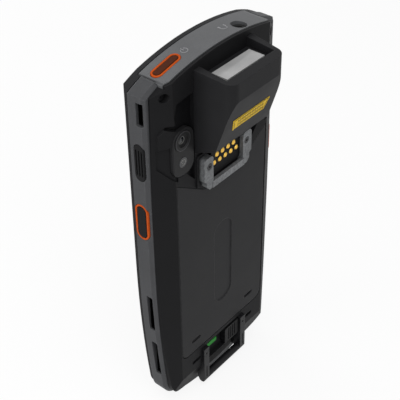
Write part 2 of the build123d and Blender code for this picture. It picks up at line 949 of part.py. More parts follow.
def bracket_rim():
    """Low raised rim around the foot of the grip bracket."""
    high = bracket_top - bracket_base
    reach = rim_gap + rim_wide
    inner = Rectangle(2 * (bracket_half + rim_gap), high + 2 * rim_gap)
    outer = RectangleRounded(2 * (bracket_half + reach), high + 2 * reach, bracket_corner)
    middle = (bracket_top + bracket_base) / 2
    rim = layer(at(0, middle, outer - inner), -rim_proud, back_plate)
    rim = rim & block(-far, far, -far, far, -far, hood_foot_z - rim_gap)
    return rim - layer(cover_face(2 * part_gap), -far, far)


def finger_face():
    """Shallow finger recess under the bar of the grip bracket."""
    high = block_base - bracket_base - bracket_bar / 2
    return at(0, bracket_base + bracket_bar / 2 + high / 2, Rectangle(2 * bracket_inner, high))


def rear_screw_tool():
    mouth = at(rear_screw_x, rear_screw_z, Circle(rear_well_r))
    well = layer(mouth, -cut_over, rear_head_depth + rear_head_high)
    hole = layer(at(rear_screw_x, rear_screw_z, Circle(rear_shank_r + fixed_gap)), 0, body_depth)
    return well + hole


def loop_screw_tool():
    return layer(at(loop_arm_x, loop_screw_z, Circle(screw_shank_r + fixed_gap)), 0, body_depth)


def socket_screw(x, z, head_r, head_high, shank_r, head_depth, end_depth):
    """Screw seen from behind, its head at a depth, with a round socket."""
    head = layer(at(x, z, Circle(head_r)), head_depth, head_depth + head_high)
    shank = layer(at(x, z, Circle(shank_r)), head_depth + head_high, end_depth)
    hexagon = at(x, z, RegularPolygon(screw_socket_r, socket_sides))
    socket = layer(hexagon, head_depth - cut_over, head_depth + screw_socket_deep)
    return head + shank - socket


def rear_screws():
    screw = socket_screw(
        rear_screw_x, rear_screw_z, rear_head_r, rear_head_high, rear_shank_r, rear_head_depth, rear_screw_end
    )
    return both_sides(screw)


# ---------------------------------------------------------------- scanner hood
def hood_profile(inward):
    """Side view of the hood in Y and Z, its walls drawn in by a distance."""
    root = hood_wall + 2 * cut_over
    foot_slope = (hood_break_z - hood_foot_z) / hood_break
    rim_slope = (hood_back_z - hood_rim_z) / hood_rise
    face = Polygon(
        (back_y - root, hood_foot_z - foot_slope * root),
        (back_y + hood_break, hood_break_z),
        (back_y + hood_rise, hood_face_z),
        (back_y + hood_rise, hood_rim_z),
        (back_y - root, hood_back_z + rim_slope * root),
        align=None,
    )
    return offset(face, -inward, kind=Kind.INTERSECTION) if inward else face


def hood_plan(inward):
    """Plan view of the hood in X and Y: sides that draw in away from the back, rounded outer corners."""
    lean = (hood_base_half - hood_tip_half) / hood_rise
    reach = hood_rise - inward
    tip = hood_base_half - lean * reach - inward
    root = hood_base_half + lean * cut_over - inward
    face = Polygon(
        (-root, back_y - cut_over),
        (root, back_y - cut_over),
        (tip, back_y + reach),
        (-tip, back_y + reach),
        align=None,
    )
    outer = face.vertices().sort_by(Axis.Y)[-2:]
    return fillet(outer, hood_corner - inward)


def behind_plateau(solid, gap=0.0):
    """Keeps what stands proud of the back plateau."""
    return solid & block(-far, far, -far, -gap, -far, far)


def hood_body(inward):
    return side_layer(hood_profile(inward), -width, width) & upright(hood_plan(inward), 0, far)


def hood_spot(half, back, front):
    """Rectangle in X and Y, its reach counted from the plateau."""
    face = Rectangle(2 * half, front - back, align=(Align.CENTER, Align.MIN))
    return Pos(0, back_y + back) * face


def hood_core():
    """Room inside the hood, open at the foot, and its mouth at the rim with a ledge between them."""
    room = side_layer(hood_profile(hood_wall), -width, width) & upright(hood_plan(hood_wall), 0, far)
    room = room & block(-far, far, -far, far, -far, seat_z - ledge_thick)
    throat = hood_spot(mouth_half - mouth_ledge, mouth_ledge, mouth_front - mouth_ledge)
    mouth = hood_spot(mouth_half, -cut_over, mouth_front)
    return room + upright(throat, seat_z - ledge_thick - cut_over, far) + upright(mouth, seat_z, far)


def scanner_hood():
    solid = hood_body(0)
    solid = solid - hood_core()
    solid = behind_plateau(solid)
    return solid - label_block(label_border, -label_sink, label_thick)


def label_plane():
    """Plane of the hood's sloping face, centred on the label, its normal pointing away from the hood."""
    run_y = hood_rise - hood_break
    run_z = hood_face_z - hood_break_z
    share = (label_z - hood_break_z) / run_z
    origin = (0, back_y + hood_break + run_y * share, label_z)
    return Plane(origin=origin, x_dir=(-1, 0, 0), z_dir=(0, run_z, -run_y))


def label_face(spread):
    half = label_high / 2
    face = Polygon(
        (-label_top_half, half),
        (-label_base_half, -half),
        (label_base_half, -half),
        (label_top_half, half),
        align=None,
    )
    return offset(face, spread, kind=Kind.INTERSECTION) if spread else face


def label_block(spread, back, front):
    """Slab of the label, between two heights over the sloping face."""
    return extrude(label_plane().offset(back) * label_face(spread), amount=front - back)


def label_inlay():
    return label_block(0, -label_sink, label_thick - label_sink)


def scan_window():
    face = hood_spot(window_half, window_back, window_front)
    return upright(face, window_z - window_thick, window_z)


def window_gasket():
    """Tray round the window, with a raised strip along its outer side."""
    tray = hood_spot(mouth_half - hood_fit, hood_fit, mouth_front - hood_fit)
    hole = hood_spot(window_half - window_lap, window_back + window_lap, window_front - window_lap)
    strip = hood_spot(mouth_half - hood_fit, window_front + hood_fit, mouth_front - hood_fit)
    base = window_z - window_thick
    return upright(tray - hole, seat_z, base) + upright(strip, base, base + ledge_rise)


def scan_engine():
    body = block(-engine_width / 2, engine_width / 2, -engine_deep, 0, engine_z, engine_z + engine_high)
    for x in (-engine_lens_x, engine_lens_x):
        pit = Pos(x, back_y + engine_deep / 2) * Circle(engine_lens_r + fixed_gap)
        body = body - upright(pit, engine_z + engine_high - engine_lens_sink, length)
    return body


def scan_lenses():
    base = engine_z + engine_high - engine_lens_sink
    lens = Pos(engine_lens_x, back_y + engine_deep / 2) * Circle(engine_lens_r)
    return both_sides(upright(lens, base, base + engine_lens_high))


# ---------------------------------------------------------------- contact block and grip bracket
def pin_places():
    for z, count in pin_rows:
        for place in range(count):
            yield (place - (count - 1) / 2) * pin_pitch, z


def contact_block():
    solid = layer(block_face(), -block_proud, block_seat)
    for x, z in pin_places():
        solid = solid - layer(at(x, z, Circle(pin_r + pin_gap)), -far, pin_long - block_proud)
    return solid


def pogo_pins():
    return [
        layer(at(x, z, Circle(pin_r)), -block_proud - pin_proud, pin_long - block_proud)
        for x, z in pin_places()
    ]


def bracket_face():
    """Half of the bracket's arm and foot."""
    arm = Polygon(
        (bracket_inner, bracket_base),
        (bracket_waist_half - bracket_corner, bracket_base),
        (bracket_waist_half, bracket_base + bracket_corner),
        (bracket_waist_half, bracket_waist - bracket_corner / 2),
        (bracket_half, bracket_waist),
        (bracket_half, bracket_top),
        (bracket_inner, bracket_top),
        align=None,
    )
    top = arm.vertices().sort_by(Axis.Y)[-2:]
    return fillet(top, bracket_corner)


def grip_bracket():
    arm = layer(bracket_face(), -bracket_thick, 0)
    foot = at(0, bracket_base + bracket_bar / 2, Rectangle(2 * bracket_inner + cut_over, bracket_bar))
    bar_top = bracket_thick + bracket_bar_rise
    bar = layer(foot, -bar_top, bracket_bar_thick - bar_top)
    solid = arm + mirrored(arm) + bar
    for hole in both_sides(bracket_screw_tool()):
        solid = solid - hole
    return solid


def bracket_screw_tool():
    head = layer(
        at(bracket_screw_x, bracket_screw_z, Circle(screw_head_r + fixed_gap)),
        -bracket_thick - cut_over,
        screw_head_high - bracket_thick,
    )
    hole = layer(at(bracket_screw_x, bracket_screw_z, Circle(screw_shank_r + fixed_gap)), -bracket_thick, 0)
    return head + hole


def bracket_screws():
    screw = socket_screw(
        bracket_screw_x, bracket_screw_z, screw_head_r, screw_head_high, screw_shank_r, -bracket_thick, 0
    )
    return both_sides(screw)


# ---------------------------------------------------------------- camera
def camera_island():
    solid = layer(island_face(), -island_proud, island_deep)
    solid = chamfer(edges_at_depth(solid, -island_proud), island_edge)
    solid = solid - layer(at(lens_x, lens_z, Circle(ring_r + seam_gap)), -far, ring_deep - island_proud)
    solid = solid - layer(at(lens_x, lens_z, Circle(ring_hole_r)), -far, far)
    bore = layer(at(lens_x, lens_z, Circle(module_r + part_gap)), lens_stack_end, far)
    solid = solid - bore
    return solid - layer(at(lens_x, flash_z, Circle(flash_r + seam_gap)), -far, flash_deep - island_proud)


def camera_ring():
    face = at(lens_x, lens_z, Circle(ring_r) - Circle(ring_hole_r - lens_lip))
    return layer(face, -island_proud - ring_proud, ring_deep - island_proud)


def camera_lens():
    disc = at(lens_x, lens_z, Circle(ring_hole_r - seam_gap))
    return layer(disc, ring_deep - island_proud, lens_stack_end)


def camera_module():
    return layer(at(lens_x, lens_z, Circle(module_r)), lens_stack_end, lens_stack_end + module_deep)


def flash_lens():
    return layer(at(lens_x, flash_z, Circle(flash_r)), -island_proud - flash_proud, flash_deep - island_proud)


# ---------------------------------------------------------------- battery
def battery_cover():
    solid = layer(cover_face(), 0, cover_thick)
    solid = chamfer(edges_at_depth(solid, 0), cover_edge)
    oval = layer(at(0, oval_z, Rot(0, 0, 90) * SlotOverall(oval_long, oval_wide)), -cut_over, oval_sink)
    solid = solid - oval
    for one in slot_pair(cover_slot_z, -cut_over, cover_slot_deep):
        solid = solid - one
    return solid


def cover_seal():
    outer = offset(cover_face(), -seal_inset)
    inner = offset(cover_face(), -seal_inset - seal_width)
    return layer(outer - inner, cover_thick, cover_thick + seal_thick)


def nfc_antenna():
    outer = at(0, antenna_z, Rectangle(antenna_wide, antenna_high))
    inner = at(0, antenna_z, Rectangle(antenna_wide - 2 * antenna_track, antenna_high - 2 * antenna_track))
    return layer(outer - inner, cover_thick, cover_thick + antenna_thick)


def battery_pack():
    return layer(pack_face(), cover_thick + antenna_thick, pack_front)


def battery_connector():
    base = pack_base - pack_gap - connector_high
    half = connector_wide / 2
    return block(-half, half, connector_back, plate_back, base, base + connector_high)


# ---------------------------------------------------------------- latch and lower strap loop
def battery_latch():
    face = at(latch_rest_x, latch_z, RectangleRounded(latch_wide, latch_high, latch_corner))
    solid = layer(face, -latch_proud, latch_floor - flag_thick - latch_run)
    solid = solid - latch_tongue()
    for step in range(latch_ribs):
        x = latch_rest_x + (step - (latch_ribs - 1) / 2) * latch_rib_pitch
        rib = at(x, latch_z, Rectangle(latch_rib, latch_high - 2 * latch_rib))
        solid = solid - layer(rib, -far, -latch_proud + latch_rib / 2)
    return solid


def latch_tongue():
    """Flat plate set in the latch that slides under the cover's hook."""
    left = latch_rest_x - tongue_wide / 2
    return block(left, left + tongue_wide, tongue_back, tongue_front, latch_z, tongue_top)


def tongue_room():
    """Slot in the housing along which the latch's tongue slides under the cover."""
    reach = tongue_wide / 2 + hook_gap
    left = latch_rest_x - reach
    right = latch_rest_x + latch_travel + reach
    low = latch_recess_top - cut_over
    return block(left, right, tongue_back - hook_gap, tongue_front + hook_gap, low, tongue_top + hook_gap)


def hook_shape(spread):
    """Hook under the cover's lower edge, its lip in front of the latch's tongue when that is shut."""
    left = hook_x - hook_wide / 2 - spread
    right = hook_x + hook_wide / 2 + spread
    web_z = tongue_top + hook_gap
    web = block(left, right, cover_thick, hook_front + spread, web_z - spread, web_z + hook_web + spread)
    lip_back = hook_front - hook_lip
    lip_z = cover_base + hook_gap
    lip = block(left, right, lip_back - spread, hook_front + spread, lip_z - spread, web_z + hook_web)
    return web + lip


def cover_hook():
    return hook_shape(0)


def latch_flag():
    return layer(at(flag_x, flag_z, Rectangle(flag_wide, flag_high)), latch_floor - flag_thick, latch_floor)


def strap_loop():
    arm = layer(arm_face(), -loop_proud, loop_seat)
    slit = at(loop_arm_x, arm_slit_z, Rectangle(arm_slit, arm_slit_long))
    arm = arm - layer(slit, -far, arm_slit - loop_proud)
    bar_plane = Plane(origin=(-loop_half, back_y - loop_bar_depth, loop_bar_z), z_dir=(1, 0, 0))
    bar = extrude(bar_plane * Circle(loop_bar_r), amount=2 * loop_half)
    solid = arm + mirrored(arm) + bar
    for hole in both_sides(loop_head_tool()):
        solid = solid - hole
    return solid


def loop_head_tool():
    place = at(loop_arm_x, loop_screw_z, Circle(screw_head_r + seam_gap))
    head = layer(place, -far, screw_head_high - loop_proud)
    hole = layer(at(loop_arm_x, loop_screw_z, Circle(screw_shank_r + fixed_gap)), -far, far)
    return head + hole


def loop_screws():
    screw = socket_screw(
        loop_arm_x, loop_screw_z, screw_head_r, screw_head_high, screw_shank_r, -loop_proud,
        loop_screw_end,
    )
    return both_sides(screw)


# ---------------------------------------------------------------- keys
def stack(plane_at, face_at, near, far_inset, edge=0.0):
    """Prism of a face between two insets from the body's skin, its outer edges cut by a chamfer."""
    solid = extrude(plane_at(far_inset) * face_at, amount=far_inset - near)
    if not edge:
        return solid
    outer = solid.faces().sort_by(Axis((0, 0, 0), plane_at(0).z_dir))[-1]
    return chamfer(outer.edges(), edge)


def side_plane(depth, z):
    """Planes square to the right side at a depth and height, sunk by an inset."""
    return lambda inset: Plane(
        origin=(width / 2 - inset, back_y - depth, z), x_dir=(0, 0, 1), z_dir=(1, 0, 0)
    )


def bar_face(wide, long, spread=0.0):
    return SlotOverall(long + 2 * spread, wide + 2 * spread)


def press_key(plane_at, wide, long):
    cap = stack(plane_at, bar_face(wide, long), -key_proud, flange_front, key_edge)
    flange = stack(plane_at, bar_face(wide, long, flange_lap), flange_back, flange_front)
    return cap + flange


def key_ring(plane_at, wide, long):
    face = bar_face(wide, long, key_gap + ring_wide) - bar_face(wide, long, key_gap)
    return stack(plane_at, face, 0, flange_back - ring_seat_gap)


def key_switch(plane_at, wide, long):
    top = flange_front + key_travel + switch_gap
    return stack(plane_at, Rectangle(long, wide), top, top + switch_thick)


def scan_plane():
    return side_plane(side_key_depth, side_key_z)


def power_plane():
    return lambda inset: top_plane(power_x, power_depth, inset)


def volume_key():
    plane = side_plane(volume_depth, volume_z)
    body = stack(plane, bar_face(volume_wide, volume_long), -key_proud, flange_front, key_edge)
    lug = Rectangle(rocker_lug_long, volume_wide + 2 * rocker_lug_reach)
    body = body + stack(plane, lug, flange_back, flange_front)
    for step in range(volume_ribs):
        place = side_plane(volume_depth + (step - (volume_ribs - 1) / 2) * volume_rib_pitch, volume_z)
        body = body - stack(place, bar_face(volume_rib, volume_rib_long), -cut_over, volume_rib - key_proud)
    return body


def scan_key_right():
    return press_key(scan_plane(), side_key_wide, side_key_long)


def scan_ring_right():
    return key_ring(scan_plane(), side_key_wide, side_key_long)


def scan_key_left():
    return mirrored(scan_key_right())


def scan_ring_left():
    return mirrored(scan_ring_right())


def talk_key():
    return mirrored(press_key(side_plane(volume_depth, volume_z), volume_wide, volume_long))


def power_key():
    return press_key(power_plane(), power_wide, power_long)


def power_ring():
    return key_ring(power_plane(), power_wide, power_long)


def key_switches():
    scan = key_switch(scan_plane(), switch_wide, switch_long)
    high = key_switch(side_plane(volume_depth, volume_z + switch_offset), switch_wide, switch_wide)
    low = key_switch(side_plane(volume_depth, volume_z - switch_offset), switch_wide, switch_wide)
    talk = mirrored(key_switch(side_plane(volume_depth, volume_z), switch_wide, switch_long))
    power = key_switch(power_plane(), switch_wide, switch_long)
    return [scan, mirrored(scan), high, low, talk, power]


# ---------------------------------------------------------------- ports and electronics
def headphone_jack():
    top = cap_face_z(jack_x, 0) - jack_sink
    place = Pos(jack_x, back_y - jack_depth)
    solid = upright(place * Circle(jack_r), top - jack_body_long, top)
    return solid - upright(place * Circle(jack_bore_r), top - jack_bore_long, length)


def usb_port():
    place = Pos(0, back_y - usb_depth)
    outer = SlotOverall(usb_wide, usb_high)
    inner = SlotOverall(usb_wide - 2 * usb_wall, usb_high - 2 * usb_wall)
    shell = upright(place * outer, usb_sink, usb_sink + usb_long)
    shell = shell - upright(place * inner, -cut_over, usb_sink + usb_long - usb_tongue)
    blade = Rectangle(usb_tongue_wide, usb_tongue)
    return shell + upright(place * blade, usb_tongue_sink, usb_sink + usb_long)


def main_board():
    solid = block(-board_half, board_half, board_back, board_back + board_thick, board_base, board_top)
    room = layer(at(lens_x, lens_z, Circle(module_r + part_gap)), 0, body_depth)
    return solid - room


def board_shields():
    """Two pressed cans over the chips on the board."""
    low = board_base + board_post_r + shield_thick
    back = board_back - shield_thick
    return both_sides(block(board_gap, board_gap + shield_wide, back, board_back, low, low + shield_high))


def lower_board():
    solid = block(
        -lower_board_half, lower_board_half, lower_board_back, lower_board_back + lower_board_thick,
        lower_board_base, lower_board_top,
    )
    post = at(loop_arm_x, loop_screw_z, Circle(rear_boss_r - rear_shank_r + fixed_gap))
    for room in both_sides(layer(post, 0, body_depth)):
        solid = solid - room
    return solid


def loudspeaker():
    return block(
        speaker_x - speaker_wide / 2, speaker_x + speaker_wide / 2, speaker_back, lower_board_back,
        speaker_z - speaker_high / 2, speaker_z + speaker_high / 2,
    )


# ---------------------------------------------------------------- export
sub_parts = {
    "front_bezel": front_bezel,
    "display_glass": display_glass,
    "display_module": display_module,
    "earpiece": earpiece,
    "front_camera": front_camera,
    "side_rail_right": side_rail_right,
    "side_rail_left": side_rail_left,
    "top_cap": top_cap,
    "bottom_cap": bottom_cap,
    "mid_chassis": mid_chassis,
    "rear_housing": rear_housing,
    "rear_screws": rear_screws,
    "scanner_hood": scanner_hood,
    "label_inlay": label_inlay,
    "scan_window": scan_window,
    "window_gasket": window_gasket,
    "scan_engine": scan_engine,
    "scan_lenses": scan_lenses,
    "contact_block": contact_block,
    "pogo_pins": pogo_pins,
    "grip_bracket": grip_bracket,
    "bracket_screws": bracket_screws,
    "camera_island": camera_island,
    "camera_ring": camera_ring,
    "camera_lens": camera_lens,
    "camera_module": camera_module,
    "flash_lens": flash_lens,
    "battery_cover": battery_cover,
    "cover_hook": cover_hook,
    "cover_seal": cover_seal,
    "nfc_antenna": nfc_antenna,
    "battery_pack": battery_pack,
    "battery_connector": battery_connector,
    "battery_latch": battery_latch,
    "latch_tongue": latch_tongue,
    "latch_flag": latch_flag,
    "strap_loop": strap_loop,
    "loop_screws": loop_screws,
    "volume_key": volume_key,
    "scan_key_right": scan_key_right,
    "scan_ring_right": scan_ring_right,
    "scan_key_left": scan_key_left,
    "scan_ring_left": scan_ring_left,
    "talk_key": talk_key,
    "power_key": power_key,
    "power_ring": power_ring,
    "key_switches": key_switches,
    "headphone_jack": headphone_jack,
    "usb_port": usb_port,
    "main_board": main_board,
    "board_shields": board_shields,
    "lower_board": lower_board,
    "loudspeaker": loudspeaker,
}

for node, build in sub_parts.items():
    save(node, build())
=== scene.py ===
import json
import math

import bmesh
import bpy
from mathutils import Matrix, Vector
from mathutils.bvhtree import BVHTree


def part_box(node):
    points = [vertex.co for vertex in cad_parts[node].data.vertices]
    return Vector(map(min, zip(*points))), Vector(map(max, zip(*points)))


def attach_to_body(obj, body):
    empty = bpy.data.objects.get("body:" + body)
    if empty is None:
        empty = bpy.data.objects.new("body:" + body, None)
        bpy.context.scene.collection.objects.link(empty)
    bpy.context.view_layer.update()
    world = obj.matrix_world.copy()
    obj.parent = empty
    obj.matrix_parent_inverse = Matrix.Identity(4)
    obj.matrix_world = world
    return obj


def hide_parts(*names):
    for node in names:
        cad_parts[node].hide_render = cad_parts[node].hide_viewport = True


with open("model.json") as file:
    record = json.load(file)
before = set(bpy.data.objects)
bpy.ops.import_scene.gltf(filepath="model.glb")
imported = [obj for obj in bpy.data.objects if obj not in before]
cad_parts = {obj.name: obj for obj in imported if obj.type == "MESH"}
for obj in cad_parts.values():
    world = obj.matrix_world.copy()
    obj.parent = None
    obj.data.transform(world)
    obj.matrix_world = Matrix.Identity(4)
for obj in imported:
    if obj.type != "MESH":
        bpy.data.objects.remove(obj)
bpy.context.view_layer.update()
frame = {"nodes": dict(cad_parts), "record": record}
nodes = frame["nodes"]
scene = bpy.context.scene
MM = 0.001
# the two ways out of the part, and the least radius (mm) of a turned profile at its axis
BACK = (0, 1, 0)
FRONT = (0, -1, 0)
AXIS_GAP = 0.001


# ---------------------------------------------------------------- camera, light and floor
def link(name, data):
    obj = bpy.data.objects.new(name, data)
    scene.collection.objects.link(obj)
    return obj


def make_camera():
    right = (-0.64176258, 0.76679765, -0.01273373)
    down = (0.48400734, 0.39209321, -0.78230417)
    ahead = (-0.59487619, -0.50821676, -0.62276644)
    place = (0.2331212, 0.1872363, 0.3354765)
    data = bpy.data.cameras.new("camera")
    data.sensor_width = 36.0
    data.lens = 87.091
    data.clip_start = 0.01
    obj = link("camera", data)
    matrix = Matrix.Identity(4)
    for row in range(3):
        matrix[row][0] = right[row]
        matrix[row][1] = -down[row]
        matrix[row][2] = -ahead[row]
        matrix[row][3] = place[row]
    obj.matrix_world = matrix
    scene.camera = obj


def seen_directly(tree):
    """1 for rays that come from the camera, a reflection or a clear material."""
    path = tree.nodes.new("ShaderNodeLightPath")
    first = tree.nodes.new("ShaderNodeMath")
    first.operation = "MAXIMUM"
    tree.links.new(path.outputs["Is Camera Ray"], first.inputs[0])
    tree.links.new(path.outputs["Is Glossy Ray"], first.inputs[1])
    second = tree.nodes.new("ShaderNodeMath")
    second.operation = "MAXIMUM"
    tree.links.new(first.outputs[0], second.inputs[0])
    tree.links.new(path.outputs["Is Transmission Ray"], second.inputs[1])
    return second.outputs[0]


def make_world(level):
    world = bpy.data.worlds.new("studio")
    scene.world = world
    world.use_nodes = True
    tree = world.node_tree
    soft = tree.nodes["Background"]
    soft.inputs["Color"].default_value = (1, 1, 1, 1)
    soft.inputs["Strength"].default_value = level
    plain = tree.nodes.new("ShaderNodeBackground")
    plain.inputs["Color"].default_value = (1, 1, 1, 1)
    plain.inputs["Strength"].default_value = 1.0
    mix = tree.nodes.new("ShaderNodeMixShader")
    tree.links.new(seen_directly(tree), mix.inputs[0])
    tree.links.new(soft.outputs[0], mix.inputs[1])
    tree.links.new(plain.outputs[0], mix.inputs[2])
    tree.links.new(mix.outputs[0], tree.nodes["World Output"].inputs["Surface"])


def softbox(name, place, size, watts, aim=(0, 0, 0.09)):
    data = bpy.data.lights.new(name, "AREA")
    data.shape = "RECTANGLE"
    data.size, data.size_y = size
    data.energy = watts
    obj = link(name, data)
    obj.location = place
    obj.rotation_euler = (Vector(aim) - obj.location).to_track_quat("-Z", "Y").to_euler()


def make_floor():
    data = bpy.data.meshes.new("floor")
    half = 3.0
    steps = 12
    below = 0.0002
    grid = bmesh.new()
    bmesh.ops.create_grid(grid, x_segments=steps, y_segments=steps, size=half)
    grid.to_mesh(data)
    grid.free()
    obj = link("floor", data)
    obj.location.z = -below
    mat = bpy.data.materials.new("floor")
    mat.use_nodes = True
    tree = mat.node_tree
    bsdf = tree.nodes["Principled BSDF"]
    bsdf.inputs["Base Color"].default_value = (0.86, 0.86, 0.86, 1)
    bsdf.inputs["Roughness"].default_value = 0.9
    bsdf.inputs["Specular IOR Level"].default_value = 0.0
    glow = tree.nodes.new("ShaderNodeEmission")
    glow.inputs["Strength"].default_value = 1.0
    share = tree.nodes.new("ShaderNodeMath")
    share.operation = "MULTIPLY"
    share.inputs[1].default_value = 0.86
    tree.links.new(seen_directly(tree), share.inputs[0])
    mix = tree.nodes.new("ShaderNodeMixShader")
    tree.links.new(share.outputs[0], mix.inputs[0])
    tree.links.new(bsdf.outputs[0], mix.inputs[1])
    tree.links.new(glow.outputs[0], mix.inputs[2])
    tree.links.new(mix.outputs[0], tree.nodes["Material Output"].inputs["Surface"])
    data.materials.append(mat)


# ---------------------------------------------------------------- materials
def join(tree, source, socket):
    tree.links.new(source, socket)


def noise_node(tree, where, scale, detail=3.0, rough=0.5):
    node = tree.nodes.new("ShaderNodeTexNoise")
    node.inputs["Scale"].default_value = scale
    node.inputs["Detail"].default_value = detail
    node.inputs["Roughness"].default_value = rough
    join(tree, where, node.inputs["Vector"])
    return node.outputs["Fac"]


def ranged(tree, source, from_low, from_high, to_low, to_high):
    node = tree.nodes.new("ShaderNodeMapRange")
    node.inputs["From Min"].default_value = from_low
    node.inputs["From Max"].default_value = from_high
    node.inputs["To Min"].default_value = to_low
    node.inputs["To Max"].default_value = to_high
    join(tree, source, node.inputs["Value"])
    return node.outputs["Result"]


def maths(tree, kind, one, two=None):
    node = tree.nodes.new("ShaderNodeMath")
    node.operation = kind
    for socket, value in zip(node.inputs, (one, two)):
        if isinstance(value, (int, float)):
            socket.default_value = value
        elif value is not None:
            join(tree, value, socket)
    return node.outputs[0]


def blended(tree, share, one, two):
    """Colour one where share is 0, colour two where it is 1; either may be a socket."""
    node = tree.nodes.new("ShaderNodeMix")
    node.data_type = "RGBA"
    join(tree, share, node.inputs[0])
    for socket, value in ((node.inputs[6], one), (node.inputs[7], two)):
        if isinstance(value, tuple):
            socket.default_value = (*value, 1)
        else:
            join(tree, value, socket)
    return node.outputs[2]


def scaled(colour, amount):
    return tuple(channel * amount for channel in colour)


def surface(name, colour, rough, grain=3200.0, bump=0.25, depth=0.02, specular=0.2, metallic=0.0, edge=0.16,
            wear_and_highlight=0.5, blotch=0.12, mask=None, darker=None, darker_rough=None, streak=None,
            rim_from=0.98, rim_to=0.78):
    """A moulded or cast surface: fine grain, soft blotches of tone, rounded edges, and edges lighter in colour as
    wear and painted highlight.
    mask(tree, place, normal) gives the share of a second, darker tone over part of the surface, which the housing
    uses as painted shade."""
    mat = bpy.data.materials.new(name)
    mat.use_nodes = True
    tree = mat.node_tree
    bsdf = tree.nodes["Principled BSDF"]
    bsdf.inputs["Metallic"].default_value = metallic
    bsdf.inputs["Specular IOR Level"].default_value = specular
    coords = tree.nodes.new("ShaderNodeTexCoord")
    place = coords.outputs["Object"]
    if streak:
        stretch = tree.nodes.new("ShaderNodeMapping")
        stretch.inputs["Scale"].default_value = streak
        join(tree, place, stretch.inputs["Vector"])
        fine_place = stretch.outputs[0]
    else:
        fine_place = place
    broad_scale = 60.0
    patch_scale = 420.0
    fine = noise_node(tree, fine_place, grain, 2.0)
    broad = noise_node(tree, place, broad_scale, 4.0, 0.6)
    tone = ranged(tree, broad, 0.3, 0.7, 1.0 - blotch, 1.0 + blotch)
    speck = ranged(tree, fine, 0.25, 0.75, 1.0 - blotch, 1.0 + blotch)
    shade = maths(tree, "MULTIPLY", tone, speck)
    base = tree.nodes.new("ShaderNodeMix")
    base.data_type = "RGBA"
    base.blend_type = "MULTIPLY"
    base.inputs[0].default_value = 1.0
    rounded = tree.nodes.new("ShaderNodeBevel")
    rounded.samples = 4
    rounded.inputs["Radius"].default_value = edge * MM
    geometry = tree.nodes.new("ShaderNodeNewGeometry")
    turned = tree.nodes.new("ShaderNodeVectorMath")
    turned.operation = "DOT_PRODUCT"
    join(tree, rounded.outputs[0], turned.inputs[0])
    join(tree, geometry.outputs["True Normal"], turned.inputs[1])
    rim = ranged(tree, turned.outputs["Value"], rim_from, rim_to, 0.0, wear_and_highlight)
    patchy = ranged(tree, noise_node(tree, place, patch_scale, 3.0, 0.6), 0.35, 0.65, 0.35, 1.0)
    tone_colour = colour
    rough_value = rough
    if mask:
        share = mask(tree, place, coords.outputs["Normal"])
        tone_colour = blended(tree, share, colour, darker)
        if darker_rough is not None:
            rough_value = ranged(tree, share, 0.0, 1.0, rough, darker_rough)
    # Lighter edge colour: partly wear, partly a painted highlight along rounded edges and ridges.
    light_edge = tuple(min(1.0, channel * 1.9 + 0.012) for channel in colour)
    worn_and_highlit = blended(tree, maths(tree, "MULTIPLY", rim, patchy), tone_colour, light_edge)
    join(tree, worn_and_highlit, base.inputs[6])
    join(tree, shade, base.inputs[7])
    join(tree, base.outputs[2], bsdf.inputs["Base Color"])
    rough_noise = ranged(tree, broad, 0.3, 0.7, -0.05, 0.05)
    join(tree, maths(tree, "ADD", rough_noise, rough_value), bsdf.inputs["Roughness"])
    relief = tree.nodes.new("ShaderNodeBump")
    relief.inputs["Strength"].default_value = bump
    relief.inputs["Distance"].default_value = depth * MM
    join(tree, fine, relief.inputs["Height"])
    join(tree, rounded.outputs[0], relief.inputs["Normal"])
    join(tree, relief.outputs[0], bsdf.inputs["Normal"])
    return mat


def glassy(name, colour, rough):
    """A smooth polished pane over a dark or pale ground, with faint waviness."""
    wave = 0.03
    mat = bpy.data.materials.new(name)
    mat.use_nodes = True
    tree = mat.node_tree
    bsdf = tree.nodes["Principled BSDF"]
    coords = tree.nodes.new("ShaderNodeTexCoord")
    place = coords.outputs["Object"]
    broad = noise_node(tree, place, 90.0, 3.0)
    tone = ranged(tree, broad, 0.3, 0.7, 0.0, 1.0)
    join(tree, blended(tree, tone, scaled(colour, 0.88), scaled(colour, 1.12)), bsdf.inputs["Base Color"])
    join(tree, ranged(tree, noise_node(tree, place, 700.0, 4.0), 0.3, 0.7, rough, rough + 0.04),
         bsdf.inputs["Roughness"])
    rounded = tree.nodes.new("ShaderNodeBevel")
    rounded.samples = 4
    rounded.inputs["Radius"].default_value = 0.2 * MM
    relief = tree.nodes.new("ShaderNodeBump")
    relief.inputs["Strength"].default_value = wave
    relief.inputs["Distance"].default_value = 0.05 * MM
    join(tree, broad, relief.inputs["Height"])
    join(tree, rounded.outputs[0], relief.inputs["Normal"])
    join(tree, relief.outputs[0], bsdf.inputs["Normal"])
    return mat


def valley_painted_shade(tree, place, normal):
    """1 on the flat floors that lie below the back's plateau high up on the back, where painted shade darkens the
    valley; 0 elsewhere.
    """
    split = tree.nodes.new("ShaderNodeSeparateXYZ")
    join(tree, place, split.inputs[0])
    facing = tree.nodes.new("ShaderNodeSeparateXYZ")
    join(tree, normal, facing.inputs[0])
    depth_from, depth_to = -0.9, -1.2
    height_from, height_to = 105, 112
    low = ranged(tree, split.outputs["Y"], depth_from * MM, depth_to * MM, 0.0, 1.0)
    flat = ranged(tree, facing.outputs["Y"], 0.96, 0.99, 0.0, 1.0)
    high = ranged(tree, split.outputs["Z"], height_from * MM, height_to * MM, 0.0, 1.0)
    return maths(tree, "MULTIPLY", maths(tree, "MULTIPLY", low, flat), high)


